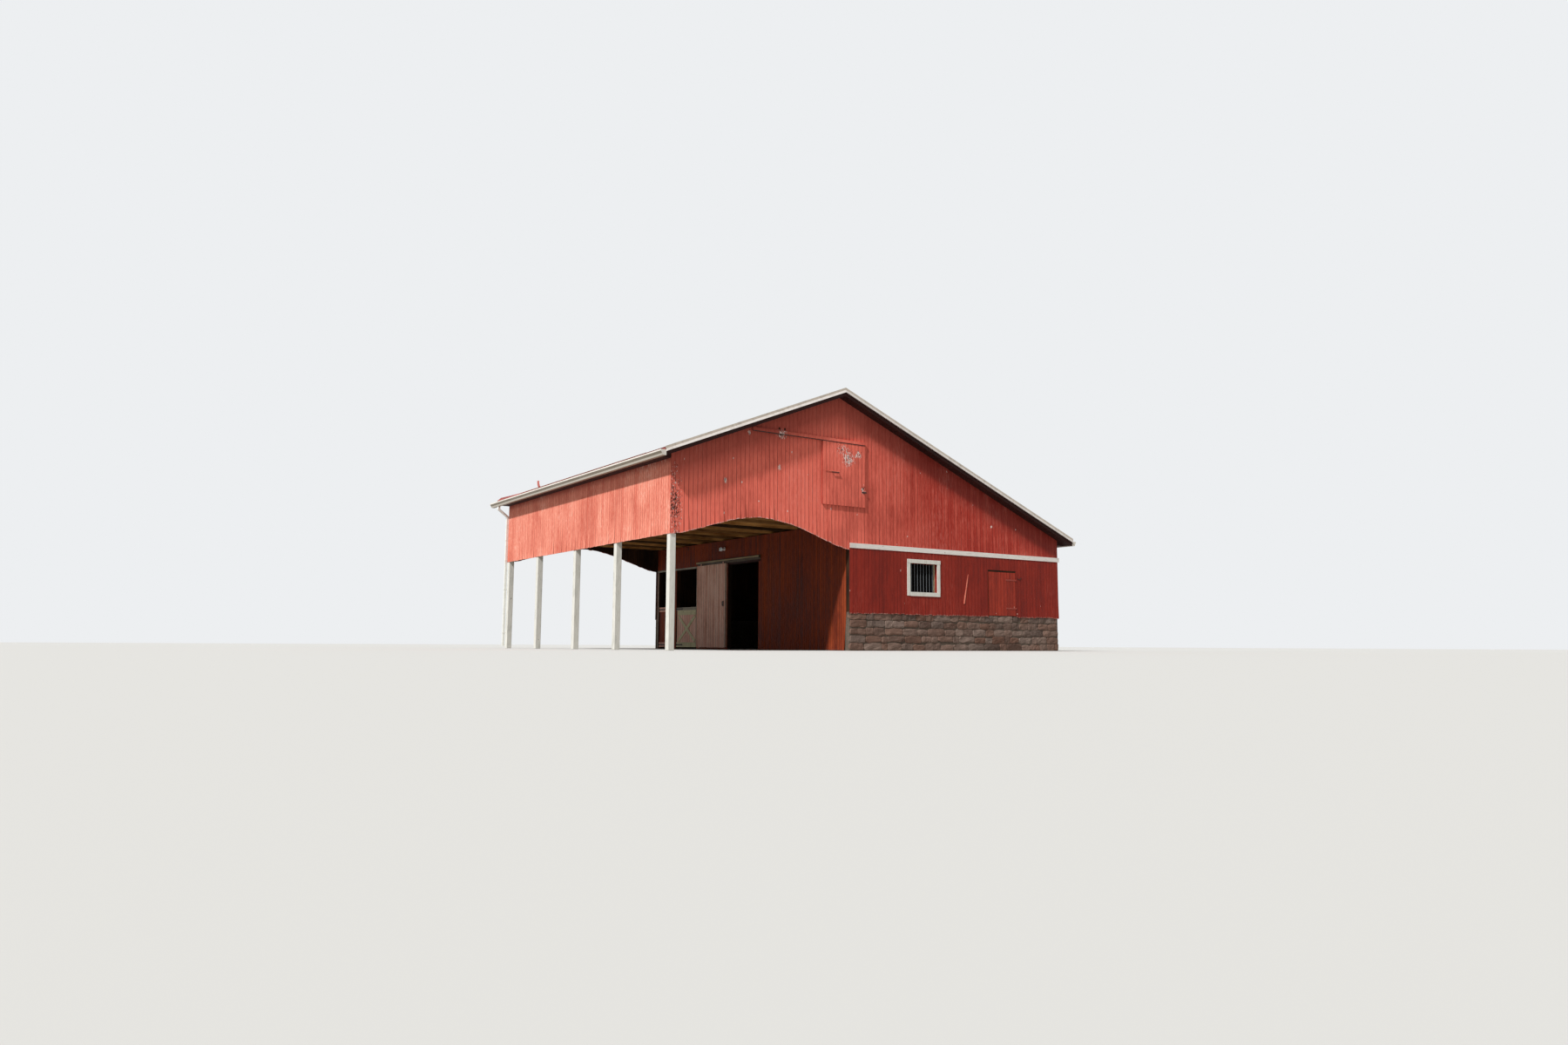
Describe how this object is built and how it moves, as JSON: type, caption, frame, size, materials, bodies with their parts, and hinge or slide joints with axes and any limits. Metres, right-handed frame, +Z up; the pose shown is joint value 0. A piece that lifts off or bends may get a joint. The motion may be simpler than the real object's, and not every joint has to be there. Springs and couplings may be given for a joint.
{
  "type": "forebay barn",
  "caption": "Red gabled barn with a hay loft carried on white posts over an open forebay, a low stable behind, and sliding, half and hatch doors.",
  "frame": {"origin": "centre of the whole barn's plan, at the level floor it stands on", "axes": "+X from the open post front to the rear, +Y along the ridge away from the gable with the window, +Z up"},
  "size_m": [12.77, 10.565, 6.1126],
  "materials": {
    "red_siding": "weathered barn paint",
    "front_siding": "sun-faded barn paint",
    "white_trim": "weathered white paint",
    "cream_metal": "satin",
    "old_timber": "bare rough-sawn",
    "foundation": "rough mortared masonry",
    "roof_metal": "weathered red sheet",
    "door_brown": "faded",
    "cream_wood": "weathered cream paint",
    "iron": "rusted",
    "fitting": "satin"
  },
  "bodies": {
    "barn": {"side_foundations": "foundation", "rear_foundation": "foundation", "near_lower_wall": "red_siding", "near_corner_wall": "red_siding", "hatch_lintel_wall": "red_siding", "far_lower_wall": "red_siding", "rear_wall": "red_siding", "near_gable": "red_siding", "far_gable": "red_siding", "front_wall": "front_siding", "posts": "white_trim", "forebay_beam": "old_timber", "stable_header": "red_siding", "stable_near_wall": "red_siding", "stable_middle_wall": "red_siding", "stable_far_pier": "red_siding", "stable_far_jamb": "red_siding", "joists": "old_timber", "loft_floor": "old_timber", "front_rafters": "old_timber", "rear_rafters": "old_timber", "front_roof": "roof_metal", "rear_roof": "roof_metal", "ridge_cap": "roof_metal", "rake_boards": "white_trim", "rake_soffits": "red_siding", "fascias": "white_trim", "eave_soffits": "red_siding", "front_gutter": "cream_metal", "rear_gutter": "cream_metal", "downspout": "cream_metal", "belt_boards": "white_trim", "window_frame": "white_trim", "loft_door": "red_siding", "loft_door_rail": "red_siding", "door_track": "old_timber", "door_pintles": "iron", "floodlight": "fitting"},
    "sliding_door": {"sliding_door": "door_brown"},
    "stall_half_door": {"stall_half_door": "cream_wood"},
    "far_half_door": {"far_half_door": "door_brown"},
    "hatch_door": {"hatch_door": "red_siding"}
  },
  "joints": [
    {"name": "sliding_door_slide", "type": "slide", "parent": "barn", "child": "sliding_door", "axis": [0, -1, 0], "range_m": [0, 1.58]},
    {"name": "stall_half_door_hinge", "type": "hinge", "parent": "barn", "child": "stall_half_door", "pos_m": [-1.257, 3.3795, 0.63], "axis": [0, 0, -1], "range_deg": [0, 90]},
    {"name": "far_half_door_hinge", "type": "hinge", "parent": "barn", "child": "far_half_door", "pos_m": [-1.257, 4.4995, 0.65], "axis": [0, 0, -1], "range_deg": [0, 90]},
    {"name": "hatch_door_hinge", "type": "hinge", "parent": "barn", "child": "hatch_door", "pos_m": [4.272, -5.0295, 1.47], "axis": [0, 0, 1], "range_deg": [0, 110]}
  ]
}
